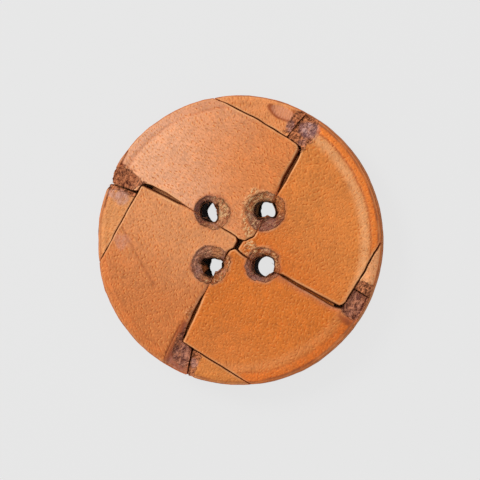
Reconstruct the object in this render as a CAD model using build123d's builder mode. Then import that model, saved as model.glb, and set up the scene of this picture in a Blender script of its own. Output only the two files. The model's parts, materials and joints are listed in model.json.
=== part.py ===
# Woven leather button with four sewing holes, 28 mm across.
# Four short straps are woven over and under each other on a round backing, pressed flat, trimmed round
# and drilled. X points right, Y up the face and Z out of the face, from the centre of the back.

import os
from math import cos, radians, sin

from build123d import *

# Whole button
BUTTON_RADIUS = 14.0
BACKING_THICKNESS = 1.2
LAYER_THICKNESS = 1.1
BACKING_TOP = BACKING_THICKNESS
LOWER_TOP = BACKING_TOP + LAYER_THICKNESS
UPPER_TOP = LOWER_TOP + LAYER_THICKNESS

# Trimmed rim of the straps, which stands a little inside the backing
TRIM_RADIUS = 13.86
BEVEL_WIDTH = 1.15
BEVEL_DROP = 0.42
TRIM_ROUND = 0.4
BACKING_LOWER_BEVEL = 0.25
BACKING_UPPER_BEVEL = 0.1

# Sewing holes, drilled through all three layers, with a pressed dish round each
HOLE_RADIUS = 1.0
HOLE_SPACING_X = 5.1
HOLE_SPACING_Y = 5.3
HOLES_CENTRE_X = 0.19
HOLES_CENTRE_Y = 0.10
DISH_RADIUS = 1.65
DISH_ANGLE = 136
BACK_DISH_RADIUS = 1.2
BACK_DISH_ANGLE = 90

# The weave crosses a little right of the button's centre and is turned clockwise
WEAVE_CENTRE = Vector(0.34, 0.05, 0)
WEAVE_TURN = -30
QUARTER_TURN = -90

# Side view of a strap, along its length
SHOULDER_ROUND = 0.38
SHOULDER_LEAN = 0.08
RAMP_TOP_BACK = 0.8
RAMP_FOOT_BACK = 0.4
RIM_SAG = 0.14
RIM_SAG_RUN = 1.8
RIM_SAG_ROUND = 2.0
TAIL_TOP = LOWER_TOP + 0.94
TAIL_RISE_RUN = 0.06
TAIL_ROUND = 0.12
TAIL_GAP = 0.05
GAP = 0.12
STRAP_REACH = BUTTON_RADIUS + 1.0
CUT_CORNER_ROUND = 0.18
NECK = 0.85
NECK_ROUND = 0.04
LIP_BEVEL = 0.12

# Sections across a strap that its side view is given at: past the inner edge, near it, and half way out
PAST_INNER_EDGE = -2.4
NEAR_INNER_EDGE = 1.2
HALF_WAY_OUT = 6.0
PAST_OUTER_EDGE = 0.4

# Each strap lies over one neighbour at its near end and dives under the next one past its shoulder.
# Values are seen along the strap: x runs from the near end to the tail, and y from the weave's centre out.
# shoulder: x of the shoulder at the inner edge, half way out and at the outer edge
# outer_edge: y of the outer edge at the shoulder and at the near rim
# inner_edge: points of the inner edge, from the crossed neighbour's corner to the joggle's foot
# corner_round: radius of the outer corner at the shoulder, where the strap necks in to dive
# spread: how far the near end spreads past the weave's centre, at the crossed neighbour's corner and at
# the full reach of the strap
STRAPS = {
    "upper_strap": {
        "shoulder": (0.95, 0.66, 0.58),
        "outer_edge": (10.5, 10.4),
        "inner_edge": [
            (-10.9, 0.2), (-4.0, 0.34), (-2.4, 0.14), (-0.55, 0.08), (-0.25, -0.08), (0.4, 0.06), (0.93, 0.8),
            (1.0, 1.6), (1.4, 1.6),
        ],
        "spread": (1.06, 1.68),
        "corner_round": 0.62,
    },
    "right_strap": {
        "shoulder": (1.1, 0.82, 0.72),
        "outer_edge": (11.7, 11.85),
        "inner_edge": [
            (-10.45, 0.95), (-5.4, 1.14), (-1.6, 1.14), (-0.86, 1.05), (-0.14, 0.56), (0.04, 0.3), (0.95, 0.25),
            (1.2, 0.8),
        ],
        "spread": (0.9, 0.24),
        "corner_round": 0.75,
    },
    "lower_strap": {
        "shoulder": (0.36, 0.32, -0.1),
        "outer_edge": (11.25, 11.6),
        "inner_edge": [
            (-11.7, 1.1), (-5.0, 1.16), (-1.5, 1.3), (-0.9, 1.27), (-0.2, 1.08), (0.02, 1.1), (0.36, 1.5),
            (0.8, 1.5),
        ],
        "spread": (1.24, 1.27),
        "corner_round": 0.22,
    },
    "left_strap": {
        "shoulder": (-0.05, -0.06, -0.24),
        "outer_edge": (10.85, 11.05),
        "inner_edge": [
            (-11.25, 0.15), (-7.0, 0.58), (-2.1, 0.53), (-1.5, 0.48), (-1.05, 0.16), (-0.3, 0.2), (0.05, 0.6),
            (0.5, 0.6),
        ],
        "spread": (1.16, 2.33),
        "corner_round": 0.28,
    },
}
NAMES = list(STRAPS)


def hole_places(height, face_down=False):
    """Locations of the four holes at a height, with Z turned down for work on the back."""
    turn = (180, 0, 0) if face_down else (0, 0, 0)
    across = [HOLES_CENTRE_X + side * HOLE_SPACING_X / 2 for side in (-1, 1)]
    up = [HOLES_CENTRE_Y + side * HOLE_SPACING_Y / 2 for side in (-1, 1)]
    return [Location((x, y, height), turn) for x in across for y in up]


def strap_directions(order):
    """Unit vectors along and across a strap: each is a quarter turn on from the one before."""
    angle = radians(WEAVE_TURN + QUARTER_TURN * order)
    along = Vector(cos(angle), sin(angle), 0)
    outward = Vector(-sin(angle), cos(angle), 0)
    return along, outward


def outer_edge_at(strap, x):
    """How far out a strap's outer edge is at a place along it: the straps aren't cut quite parallel."""
    at_shoulder, at_rim = strap["outer_edge"]
    return at_shoulder + (at_rim - at_shoulder) * -x / BUTTON_RADIUS


def side_view(shoulder, crossed_edge, tail_edge):
    """Points and corner radii of a strap's side view, in the plane of its length and height."""
    top = [
        (-STRAP_REACH, UPPER_TOP - RIM_SAG, 0),
        (-crossed_edge - RIM_SAG_RUN, UPPER_TOP - RIM_SAG, RIM_SAG_ROUND),
        (-crossed_edge, UPPER_TOP, RIM_SAG_ROUND),
        (shoulder, UPPER_TOP, SHOULDER_ROUND),
        (shoulder + SHOULDER_LEAN, LOWER_TOP, 0),
        (tail_edge + TAIL_GAP, LOWER_TOP, 0),
        (tail_edge + TAIL_GAP + TAIL_RISE_RUN, TAIL_TOP, TAIL_ROUND),
        (STRAP_REACH, TAIL_TOP, 0),
    ]
    underside = [
        (STRAP_REACH, BACKING_TOP, 0),
        (shoulder - RAMP_FOOT_BACK, BACKING_TOP, 0),
        (shoulder - RAMP_TOP_BACK, LOWER_TOP, 0),
        (-crossed_edge - GAP, LOWER_TOP, 0),
        (-crossed_edge - GAP - RAMP_FOOT_BACK, BACKING_TOP, 0),
        (-STRAP_REACH, BACKING_TOP, 0),
    ]
    return top + underside


def plan_view(order):
    """Corners and corner radii of a strap's outline from above: near end, inner edge, tail and outer edge."""
    strap = STRAPS[NAMES[order]]
    next_strap = STRAPS[NAMES[(order + 1) % 4]]
    far_strap = STRAPS[NAMES[(order + 2) % 4]]
    corner_x, corner_y = strap["inner_edge"][0]
    near_spread, full_spread = strap["spread"]
    tail_y, full_tail_y = [spread + GAP for spread in far_strap["spread"]]
    tail_x = next_strap["outer_edge"][0] - GAP
    neck_x = strap["shoulder"][2] + SHOULDER_LEAN
    neck_y = strap["outer_edge"][0] - NECK
    cut = CUT_CORNER_ROUND
    return [
        (-STRAP_REACH, -full_spread, 0),
        (corner_x - GAP, -near_spread, cut),
        (corner_x - GAP, corner_y, cut),
        *[(x, y, cut) for x, y in strap["inner_edge"][1:]],
        (tail_x, tail_y, cut),
        (STRAP_REACH, full_tail_y, 0),
        (STRAP_REACH, neck_y, 0),
        (neck_x, neck_y, NECK_ROUND),
        (neck_x, strap["outer_edge"][0], strap["corner_round"]),
        (-STRAP_REACH, outer_edge_at(strap, -STRAP_REACH), 0),
    ]


os.makedirs("parts", exist_ok=True)

# Round backing, with softened edges and the burr of each hole dished away at the back
with BuildPart() as backing_disc:
    with BuildSketch():
        Circle(BUTTON_RADIUS)
    extrude(amount=BACKING_THICKNESS)
    chamfer(backing_disc.edges().group_by(Axis.Z)[0], BACKING_LOWER_BEVEL)
    chamfer(backing_disc.edges().group_by(Axis.Z)[-1], BACKING_UPPER_BEVEL)
    with Locations(*hole_places(0, face_down=True)):
        CounterSinkHole(HOLE_RADIUS, BACK_DISH_RADIUS, 2 * UPPER_TOP, BACK_DISH_ANGLE)
backing_disc.part.label = "backing_disc"
export_step(backing_disc.part, "parts/backing_disc.step")

# Four woven straps
for order, name in enumerate(NAMES):
    strap = STRAPS[name]
    next_strap = STRAPS[NAMES[(order + 1) % 4]]
    along, outward = strap_directions(order)
    crossed_edge = -strap["inner_edge"][0][0]
    past_outer = strap["outer_edge"][0] + PAST_OUTER_EDGE
    inner, middle, outer = strap["shoulder"]
    sections = [
        (PAST_INNER_EDGE, inner),
        (NEAR_INNER_EDGE, inner),
        (HALF_WAY_OUT, middle),
        (past_outer, outer),
    ]

    # Outline as cut, with the lips of the top edges rubbed down
    with BuildPart() as cut_outline:
        with BuildSketch(Plane(WEAVE_CENTRE, x_dir=along, z_dir=(0, 0, 1))):
            with BuildLine():
                FilletPolyline(
                    *[(x, y) for x, y, corner in plan_view(order)],
                    radius=[corner for x, y, corner in plan_view(order)],
                    close=True,
                )
            make_face()
        extrude(amount=UPPER_TOP)
        chamfer(cut_outline.faces().sort_by(Axis.Z)[-1].edges(), LIP_BEVEL)

    with BuildPart() as woven:
        # Length and thickness, with the joggle, drawn through the sections across the strap
        for across, shoulder in sections:
            section_plane = Plane(WEAVE_CENTRE + outward * across, x_dir=along, z_dir=-outward)
            points = side_view(shoulder, crossed_edge, outer_edge_at(next_strap, -across))
            with BuildSketch(section_plane):
                with BuildLine():
                    FilletPolyline(
                        *[(x, z) for x, z, corner in points],
                        radius=[corner for x, z, corner in points],
                        close=True,
                    )
                make_face()
        loft(ruled=True)

        # Width and outline
        add(cut_outline.part, mode=Mode.INTERSECT)

        # Round trim with its bevel
        with BuildSketch(Plane.XZ):
            with BuildLine():
                FilletPolyline(
                    (0, 0),
                    (TRIM_RADIUS, 0),
                    (TRIM_RADIUS, UPPER_TOP - BEVEL_DROP),
                    (TRIM_RADIUS - 2 * BEVEL_WIDTH, UPPER_TOP + BEVEL_DROP),
                    (0, UPPER_TOP + BEVEL_DROP),
                    radius=[0, 0, TRIM_ROUND, 0, 0],
                    close=True,
                )
            make_face()
        revolve(axis=Axis.Z, mode=Mode.INTERSECT)

        # Sewing holes
        with Locations(*hole_places(UPPER_TOP)):
            CounterSinkHole(HOLE_RADIUS, DISH_RADIUS, 2 * UPPER_TOP, DISH_ANGLE)
    woven.part.label = name
    export_step(woven.part, f"parts/{name}.step")
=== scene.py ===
import json
from math import cos, pi, radians, sin, tan

import bmesh
import bpy
import numpy as np
from bpy.props import FloatProperty, FloatVectorProperty, IntProperty, PointerProperty
from mathutils import Matrix, Vector
from mathutils.bvhtree import BVHTree

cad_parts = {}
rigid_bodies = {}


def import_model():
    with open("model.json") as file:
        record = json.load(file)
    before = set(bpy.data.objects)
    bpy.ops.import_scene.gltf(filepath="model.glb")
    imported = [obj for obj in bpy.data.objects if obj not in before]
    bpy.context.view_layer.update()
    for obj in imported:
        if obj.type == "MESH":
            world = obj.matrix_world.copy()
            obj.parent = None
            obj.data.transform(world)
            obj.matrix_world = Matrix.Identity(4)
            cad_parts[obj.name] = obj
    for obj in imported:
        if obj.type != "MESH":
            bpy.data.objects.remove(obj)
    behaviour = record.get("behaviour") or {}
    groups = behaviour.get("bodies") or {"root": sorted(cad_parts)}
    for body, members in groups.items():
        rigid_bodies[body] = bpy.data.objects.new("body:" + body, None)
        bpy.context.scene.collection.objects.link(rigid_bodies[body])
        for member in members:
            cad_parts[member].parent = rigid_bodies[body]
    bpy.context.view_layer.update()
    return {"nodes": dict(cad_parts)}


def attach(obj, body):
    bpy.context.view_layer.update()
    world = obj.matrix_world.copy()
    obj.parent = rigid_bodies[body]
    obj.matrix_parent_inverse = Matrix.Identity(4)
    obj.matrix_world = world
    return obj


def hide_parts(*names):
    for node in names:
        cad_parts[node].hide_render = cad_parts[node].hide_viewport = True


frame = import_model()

bl_info = {
    "name": "Woven leather button",
    "version": (1, 0, 0),
    "blender": (4, 5, 0),
    "location": "3D View > Sidebar > Button",
    "description": "Finishes the straps and backing of a woven leather button in worn, dyed leather",
    "category": "Object",
}

# Places and sizes below are in millimetres from the centre of the button's back, unless a name says metres.
# X points right, Y up the face and Z out of the face. Directions are in degrees, anticlockwise from X.
METRES = 0.001
MILLIMETRES = 1000.0
MERGE_METRES = 1e-7

# Layers
BACKING_TOP = 1.2
LOWER_TOP = 2.3
UPPER_TOP = 3.4
BUTTON_RADIUS = 14.0
RIM_LIMIT = 13.99
TOP_LIMIT = 3.398

# Weave: each strap's own axes are turned a quarter on from the one before
WEAVE_CENTRE = (0.34, 0.05)
WEAVE_TURN = -30
QUARTER_TURN = -90

# Each strap's outer edge, the gap in front of its tail, its rounded inner edge, and where wear has marked it.
# Torn, scuffed and burnt areas are outlines. Stains are x, y, radius and strength.
# Creases are x and y of both ends, width, depth and darkness, which is painted shade in the crease.
# A corner is the neighbour's, which the strap's torn end fills in round.
# A slot lies beside the strap's inner edge: place along it, its middle, and how far each side closes in.
# The rim line is the radius of a dark line along the rim.
STRAPS = {
    "upper_strap": {
        "outer_edge": 10.5,
        "rim_line": 13.86,
        "tail_gap": 0.05,
        "corner": (-9.2, 5.3),
        "slot": [
            (-8.5, 0.05, 0.0), (-7.0, 0.11, 0.06), (-6.3, 0.12, 0.12), (-5.8, 0.13, 0.175),
            (-4.0, 0.14, 0.185), (-2.4, 0.045, 0.085), (-1.6, 0.03, 0.05), (-0.6, 0.015, 0.035),
            (-0.3, 0.0, 0.0),
        ],
        "soft_edge": None,
        "torn": [
            [(-13.6, 8.0), (-12.0, 7.15), (-11.2, 7.35), (-10.7, 7.0), (-9.8, 6.3), (-8.8, 5.5), (-10.1, 4.8),
             (-13.6, 4.6)],
            [(11.5, -3.8), (13.1, -4.35), (14.0, -4.5), (14.0, -6.3), (12.5, -5.9), (10.9, -5.0)],
        ],
        "scuffed": [
            [(0.5, 3.3), (1.0, 4.4), (1.7, 4.95), (2.3, 4.6), (1.4, 3.1), (1.6, 2.4), (2.2, 1.5), (1.3, 0.2),
             (0.7, 0.1), (0.4, 1.8)],
        ],
        "burnt": [[(-13.6, 8.4), (-11.4, 8.3), (-10.9, 7.2), (-9.4, 5.9), (-10.3, 4.9), (-13.6, 5.0)]],
        "stains": [],
        "creases": [
            (-10.72, 8.6, -11.35, 7.3, 0.1, 0.16, 1.0),
            (-11.35, 7.3, -10.9, 7.15, 0.1, 0.12, 1.0),
            (-11.2, 7.3, -9.8, 6.55, 0.08, 0.05, 0.5),
        ],
    },
    "right_strap": {
        "outer_edge": 11.7,
        "rim_line": 13.62,
        "tail_gap": 0.0,
        "corner": (6.1, 8.85),
        "slot": [
            (-7.1, 0.88, 0.0), (-6.2, 0.9, 0.08), (-5.4, 0.92, 0.16), (-5.0, 0.93, 0.215), (-4.2, 0.95, 0.18),
            (-3.5, 0.97, 0.16), (-2.6, 1.0, 0.13), (-1.9, 1.02, 0.12), (-1.6, 1.03, 0.1), (-1.2, 1.02, 0.06),
            (-0.9, 1.0, 0.03), (-0.6, 1.0, 0.0),
        ],
        "soft_edge": None,
        "torn": [
            [(6.7, 12.3), (7.7, 11.6), (7.95, 10.9), (7.6, 9.9), (6.9, 9.0), (6.2, 8.3), (5.5, 8.5),
             (4.8, 9.6), (5.4, 11.3)],
            [(-5.4, -10.3), (-4.1, -10.5), (-3.5, -11.2), (-3.75, -12.1), (-4.2, -13.7), (-5.8, -13.6)],
        ],
        "scuffed": [[(0.6, -0.3), (1.6, -0.1), (2.1, -1.0), (1.1, -1.7), (0.3, -1.0)]],
        "burnt": [],
        "stains": [(6.9, 10.5, 1.15, 0.95), (6.2, 9.2, 0.6, 0.4), (-4.2, -11.6, 0.6, 0.5)],
        "creases": [(8.3, 10.9, 7.4, 9.2, 0.1, 0.03, 0.35), (-4.75, -10.6, -5.0, -12.6, 0.22, 0.3, 1.0)],
    },
    "lower_strap": {
        "outer_edge": 11.25,
        "rim_line": 13.62,
        "tail_gap": -0.03,
        "corner": (10.1, -6.4),
        "slot": [
            (-11.0, 0.91, 0.0), (-9.0, 0.94, 0.05), (-5.2, 1.01, 0.05), (-4.7, 1.03, 0.13),
            (-3.4, 1.09, 0.12), (-2.5, 1.14, 0.11), (-1.9, 1.17, 0.1), (-1.5, 1.19, 0.07),
            (-1.0, 1.19, 0.03), (-0.7, 1.19, 0.0),
        ],
        "soft_edge": ((-11.7, 1.1), (-1.5, 1.3)),
        "torn": [
            [(10.9, -4.5), (12.9, -5.5), (13.6, -6.0), (12.0, -7.2), (11.3, -7.7), (10.3, -7.2), (9.9, -6.4)],
            [(-13.2, 5.9), (-10.6, 5.4), (-9.2, 5.4), (-10.0, 4.1), (-10.7, 4.35), (-11.2, 4.7), (-12.2, 4.9),
             (-13.4, 5.2)],
        ],
        "scuffed": [],
        "burnt": [[(9.9, -6.9), (10.7, -7.4), (11.4, -8.0), (11.5, -8.9), (10.4, -8.2), (9.4, -7.2)]],
        "stains": [(-11.3, 4.05, 1.0, 0.7), (-12.4, 4.6, 0.5, 0.5), (11.3, -6.8, 0.7, 0.2)],
        "creases": [(-12.5, 5.2, -12.85, 4.1, 0.1, 0.1, 0.9), (-12.85, 4.1, -13.05, 3.3, 0.1, 0.08, 0.8)],
    },
    "left_strap": {
        "outer_edge": 10.85,
        "rim_line": 13.86,
        "tail_gap": -0.03,
        "corner": (-5.2, -9.75),
        "slot": [
            (-8.5, 0.44, 0.0), (-7.0, 0.44, 0.06), (-5.2, 0.445, 0.14), (-4.5, 0.445, 0.15),
            (-3.0, 0.44, 0.13), (-2.5, 0.44, 0.11), (-2.2, 0.44, 0.05), (-1.6, 0.42, 0.0),
        ],
        "soft_edge": ((-11.25, 0.2), (-2.1, 0.53)),
        "torn": [
            [(-5.0, -8.4), (-5.7, -9.2), (-6.1, -10.0), (-6.3, -11.0), (-5.6, -11.9), (-4.9, -12.2),
             (-4.2, -10.8), (-4.5, -9.3)],
            [(4.4, 10.2), (4.7, 10.9), (5.1, 11.6), (5.7, 12.2), (6.6, 12.2), (6.0, 11.0), (5.4, 9.9)],
        ],
        "scuffed": [[(-4.9, -7.0), (-4.55, -6.5), (-4.15, -6.75), (-4.4, -7.25)]],
        "burnt": [
            [(-5.1, -7.6), (-5.6, -8.3), (-6.15, -9.3), (-6.9, -10.9), (-7.1, -11.9), (-5.2, -12.9),
             (-4.2, -10.7), (-4.3, -8.4)],
            [(5.2, 12.6), (5.9, 12.4), (5.6, 11.3), (5.0, 11.4)],
        ],
        "stains": [(-11.4, 0.0, 1.1, 0.3), (-5.7, -10.7, 0.8, 0.2), (5.2, 10.7, 0.5, 0.6)],
        "creases": [
            (-11.2, 1.2, -7.9, -4.4, 0.13, 0.05, 0.32),
            (-5.45, -8.1, -6.1, -9.3, 0.08, 0.07, 0.6),
            (-6.1, -9.3, -6.85, -10.8, 0.08, 0.08, 0.6),
            (-6.85, -10.8, -7.1, -11.9, 0.08, 0.08, 0.6),
        ],
    },
}

# Sewing holes: place of the bore, then place and radius of the worn crater round it, and its differing sides
# with the direction and strength of each
HOLE_RADIUS = 1.0
HOLES = {
    "upper_left": {"bore": (-2.36, 2.75), "crater": (-2.33, 2.67), "radius": 1.66, "seed": 3,
                   "sides": {"burnt": (175, 0.9), "scuff": (20, 0.8), "stain": (150, 0.35)}},
    "upper_right": {"bore": (2.74, 2.75), "crater": (2.8, 2.68), "radius": 1.88, "seed": 8,
                    "sides": {"burnt": (-80, 0.8), "scuff": (140, 0.9), "stain": (-95, 0.2)}},
    "lower_left": {"bore": (-2.36, -2.55), "crater": (-2.5, -2.40), "radius": 1.8, "seed": 12,
                   "sides": {"stain": (160, 0.38), "burnt": (-120, 0.35), "scuff": (-40, 0.35)}},
    "lower_right": {"bore": (2.74, -2.55), "crater": (2.49, -2.38), "radius": 1.66, "seed": 21,
                    "sides": {"stain": (-150, 0.4), "burnt": (-100, 0.6), "scuff": (50, 0.35)}},
}

# Where a bore's wall stands in from its true place, or out where the distance is below zero: hole, direction,
# half width in degrees, distance, lowest and highest place. Flaps are of torn, unburnt leather.
WALLS = [
    ("upper_left", 180, 60, -0.22, 1.9, 4.4),
    ("upper_left", 180, 80, 0.16, -1.2, 1.7),
    ("upper_right", 185, 70, 0.3, -1.2, 1.8),
    ("upper_right", 90, 50, 0.12, 1.0, 3.4),
    ("lower_left", 170, 60, -0.14, 1.9, 4.4),
    ("lower_left", 180, 80, 0.4, -1.2, 1.7),
    ("lower_left", 90, 60, 0.26, 1.0, 3.3),
    ("lower_right", 170, 60, -0.2, 1.9, 4.4),
]
FLAPS = [
    ("upper_left", 15, 98, 0.62, 1.4, 3.4),
    ("upper_right", -85, 50, 0.52, 1.6, 3.4),
    ("lower_left", 188, 26, 0.75, 1.9, 3.0),
    ("lower_left", -55, 45, 0.28, 1.4, 3.3),
    ("lower_right", -30, 85, 0.2, 1.4, 3.4),
]

# The rim isn't quite round: directions, and how far it stands inside the full radius
RIM_INSETS = [
    (-180, 0.28), (-172, 0.22), (-160, 0.05), (-90, 0.0), (-65, 0.02), (-45, 0.1), (-20, 0.14), (0, 0.16),
    (30, 0.16), (50, 0.14), (62, 0.1), (75, 0.02), (120, 0.0), (146, 0.02), (152, 0.12), (155.5, 0.34),
    (159, 0.2), (170, 0.2), (180, 0.28),
]

# Pressed dent on the tail of the left strap
DENT_CENTRE = (4.35, 12.05)
DENT_TURN = -23
DENT_HALF_LENGTH = 1.3
DENT_HALF_WIDTH = 0.66
DENT_DEPTH = 0.16

# Shape of the worn faces
FACE_SINK = 0.07
FACE_SWELL = 0.045
FACE_SWELL_SIZE = 3.2
FACE_RIPPLE = 0.014
FACE_RIPPLE_SIZE = 0.8
EDGE_WANDER = 0.035
EDGE_WANDER_SIZE = 1.5
EDGE_BOW = 0.2
LIP_RISE = 0.03
CORNER_FILL = 0.3
SOFT_EDGE_WIDTH = 0.75
SOFT_EDGE_DROP = 0.3
RIM_GROOVE_RADIUS = 12.72
RIM_GROOVE_WIDTH = 0.24
RIM_GROOVE_DEPTH = 0.05
RIM_WEAR = 0.06
RIM_WEAR_SIZE = 0.55
CRATER_CLIFF = 0.12
CRATER_SLOPE = 0.3
CRATER_ROUGH = 0.1
TORN_DROP = 0.1
TORN_ROUGH = 0.17
TORN_FRAY = 0.14

# What a piece's material reads from its points. Torn and ring are 0.5 at a border, to draw it sharp.
MARKS = ("tail", "torn", "ring", "stain", "scuff", "burnt", "bore", "cut", "lip", "hollow_shade", "crease", "dent")
BORDER_REACH = 0.6


# Colours and settings

def linear(red, green, blue):
    """A colour as a screen shows it, from 0 to 255, as the linear values that shaders use."""
    return tuple(
        ((value / 255 + 0.055) / 1.055) ** 2.4 if value > 10 else value / 3294 for value in (red, green, blue)
    )


def colour(name, description, red, green, blue):
    return FloatVectorProperty(
        name=name,
        description=description,
        default=linear(red, green, blue),
        subtype="COLOR",
        size=3,
        min=0,
        max=1,
    )


def length(name, description, millimetres):
    return FloatProperty(
        name=name, description=description, default=millimetres * METRES, unit="LENGTH", precision=5, min=0
    )


class LeatherSettings(bpy.types.PropertyGroup):
    # Each strap runs from its pale to its deep colour across its face: partly uneven dye, partly painted
    # light and sheen falling across the button
    upper_strap: colour("Upper strap, pale", "Upper left strap at the rim", 238, 171, 130)
    upper_strap_deep: colour("Upper strap, deep", "Upper left strap at its shoulder", 217, 129, 69)
    upper_strap_tail: colour("Upper strap's tail", "End of the upper strap at the right rim", 239, 164, 110)
    right_strap: colour("Right strap, pale", "Upper right strap at the rim", 219, 129, 58)
    right_strap_deep: colour("Right strap, deep", "Upper right strap at its middle", 210, 107, 31)
    right_strap_tail: colour("Right strap's tail", "End of the right strap at the lower rim", 220, 132, 62)
    lower_strap: colour("Lower strap, pale", "Lower right strap at the lower rim", 216, 122, 53)
    lower_strap_deep: colour("Lower strap, deep", "Lower right strap at its middle", 213, 115, 39)
    lower_strap_tail: colour("Lower strap's tail", "End of the lower strap at the left rim", 219, 144, 86)
    left_strap: colour("Left strap, pale", "Lower left strap at its shoulder", 222, 145, 92)
    left_strap_deep: colour("Left strap, deep", "Lower left strap at the rim", 205, 119, 62)
    left_strap_tail: colour("Left strap's tail", "End of the left strap at the upper rim", 226, 142, 84)
    # Torn fibres go from dark in their hollows to pale on their tops, with their height: partly their own
    # colour, partly painted shade and highlight
    torn_dark: colour("Torn, dark", "Hollows between torn fibres", 72, 24, 12)
    torn_light: colour("Torn, light", "Tops of torn fibres", 232, 146, 98)
    stain: colour("Stain", "Lilac-grey stain", 200, 158, 150)
    scuff: colour("Scuff", "Raised nap where the face is scuffed", 246, 200, 144)
    burnt: colour("Burnt", "Leather darkened by heat", 160, 76, 34)
    cut_edge: colour("Cut edge", "Cut sides of the straps", 158, 88, 44)
    rim_edge: colour("Rim edge", "Trimmed sides at the rim", 206, 112, 58)
    # The lip colour is partly edges rubbed pale, partly painted highlight on them
    lip: colour("Rubbed lip", "Edges rubbed pale", 250, 190, 132)
    bore: colour("Hole wall", "Walls of the holes, burnt dark by the drill", 18, 8, 5)
    # The grey in the hole walls is painted reflection on the glossy burnt wall, along its middle layer
    bore_band: colour("Hole wall's middle", "Grey middle layer in the hole walls", 104, 96, 92)
    backing: colour("Backing", "Rough side of the backing", 186, 124, 78)


class ShapeSettings(bpy.types.PropertyGroup):
    strap_detail: length("Strap detail", "Size of the faces that the straps are remeshed to", 0.09)
    backing_detail: length("Backing detail", "Size of the faces that the backing is remeshed to", 0.15)
    fibre_count: IntProperty(name="Fibres", description="Loose fibres on torn leather", default=700, min=0)
    fibre_thickness: length("Fibre thickness", "Thickness of a loose fibre at its root", 0.04)


class StageSettings(bpy.types.PropertyGroup):
    backdrop: colour("Backdrop", "What shows behind the button", 231, 231, 231)
    floor: colour("Floor", "Floor that the button lies on", 225, 225, 225)
    camera_distance: length("Camera distance", "From the button to the camera", 130)
    camera_right: FloatProperty(
        name="Camera to the right", description="Lean of the view", default=radians(7.5), unit="ROTATION"
    )
    camera_up: FloatProperty(
        name="Camera up", description="Lean of the view", default=radians(-1.0), unit="ROTATION"
    )
    key_power: FloatProperty(name="Key light", description="Power of the lamp", default=0.5, unit="POWER")
    sky: FloatProperty(name="Sky", description="Strength of the even light", default=0.6, min=0)


# Number work on many points at once

def smooth_step(value, low, high):
    """0 below low, 1 above high, with a soft change between. low may be above high."""
    share = np.clip((value - low) / (high - low), 0, 1)
    return share * share * (3 - 2 * share)


def bell(value, middle, width):
    """1 at the middle, and falling softly on both sides."""
    return np.exp(-(((value - middle) / width) ** 2))


def lattice_noise(points, size, seed):
    """Smooth noise from -1 to 1, with bumps about one size across."""
    at = points / size
    low = np.floor(at)
    share = at - low
    share = share * share * (3 - 2 * share)
    low = low.astype(np.int64)
    total = np.zeros(len(points))
    for corner in np.ndindex(2, 2, 2):
        step = np.array(corner)
        key = ((low + step) * (73856093, 19349663, 83492791)).sum(1) ^ (seed * 2654435)
        key = ((key ^ (key >> 15)) * 739982445) & 0xFFFFFFFF
        key = ((key ^ (key >> 12)) * 695872825) & 0xFFFFFFFF
        value = ((key ^ (key >> 15)) & 0xFFFF) / 32767.5 - 1
        total += value * np.prod(np.where(step, share, 1 - share), axis=1)
    return total


def layered_noise(points, size, seed, layers=3):
    """Noise with finer noise on it, each layer half the size and strength of the one before."""
    return sum(lattice_noise(points, size / 2**layer, seed + layer) / 2**layer for layer in range(layers))


def turned(points, degrees):
    """Points with X and Y turned about Z."""
    c, s = cos(radians(degrees)), sin(radians(degrees))
    x, y, z = points.T
    return np.column_stack([x * c - y * s, x * s + y * c, z])


def fibre_noise(points, size, stretch, degrees, seed):
    """Noise drawn out along one direction on the face, like fibres."""
    along = turned(points, -degrees) / (stretch, 1, 1)
    return layered_noise(along, size, seed)


def distance_from(points, place):
    return np.hypot(*(points[:, :2] - place).T)


def distance_to_line(points, start, end):
    start, end = np.array(start), np.array(end)
    line = end - start
    share = np.clip((points[:, :2] - start) @ line / (line @ line), 0, 1)
    return np.linalg.norm(points[:, :2] - start - share[:, None] * line, axis=1)


def depth_inside(points, outline):
    """How far each point is inside an outline, or below zero outside it."""
    x, y = points[:, 0], points[:, 1]
    inside = np.zeros(len(points), bool)
    nearest = np.full(len(points), np.inf)
    for (x1, y1), (x2, y2) in zip(outline, outline[1:] + outline[:1]):
        nearest = np.minimum(nearest, distance_to_line(points, (x1, y1), (x2, y2)))
        if y1 != y2:
            inside ^= ((y1 > y) != (y2 > y)) & (x < x1 + (y - y1) * (x2 - x1) / (y2 - y1))
    return np.where(inside, nearest, -nearest)


def depth_inside_any(points, outlines):
    depth = np.full(len(points), -10.0)
    for outline in outlines:
        depth = np.maximum(depth, depth_inside(points, outline))
    return depth


def border_mark(depth):
    """A mark that is 0.5 at a border, 1 well inside it and 0 well outside."""
    return np.clip(0.5 + 0.5 * depth / BORDER_REACH, 0, 1)


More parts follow.
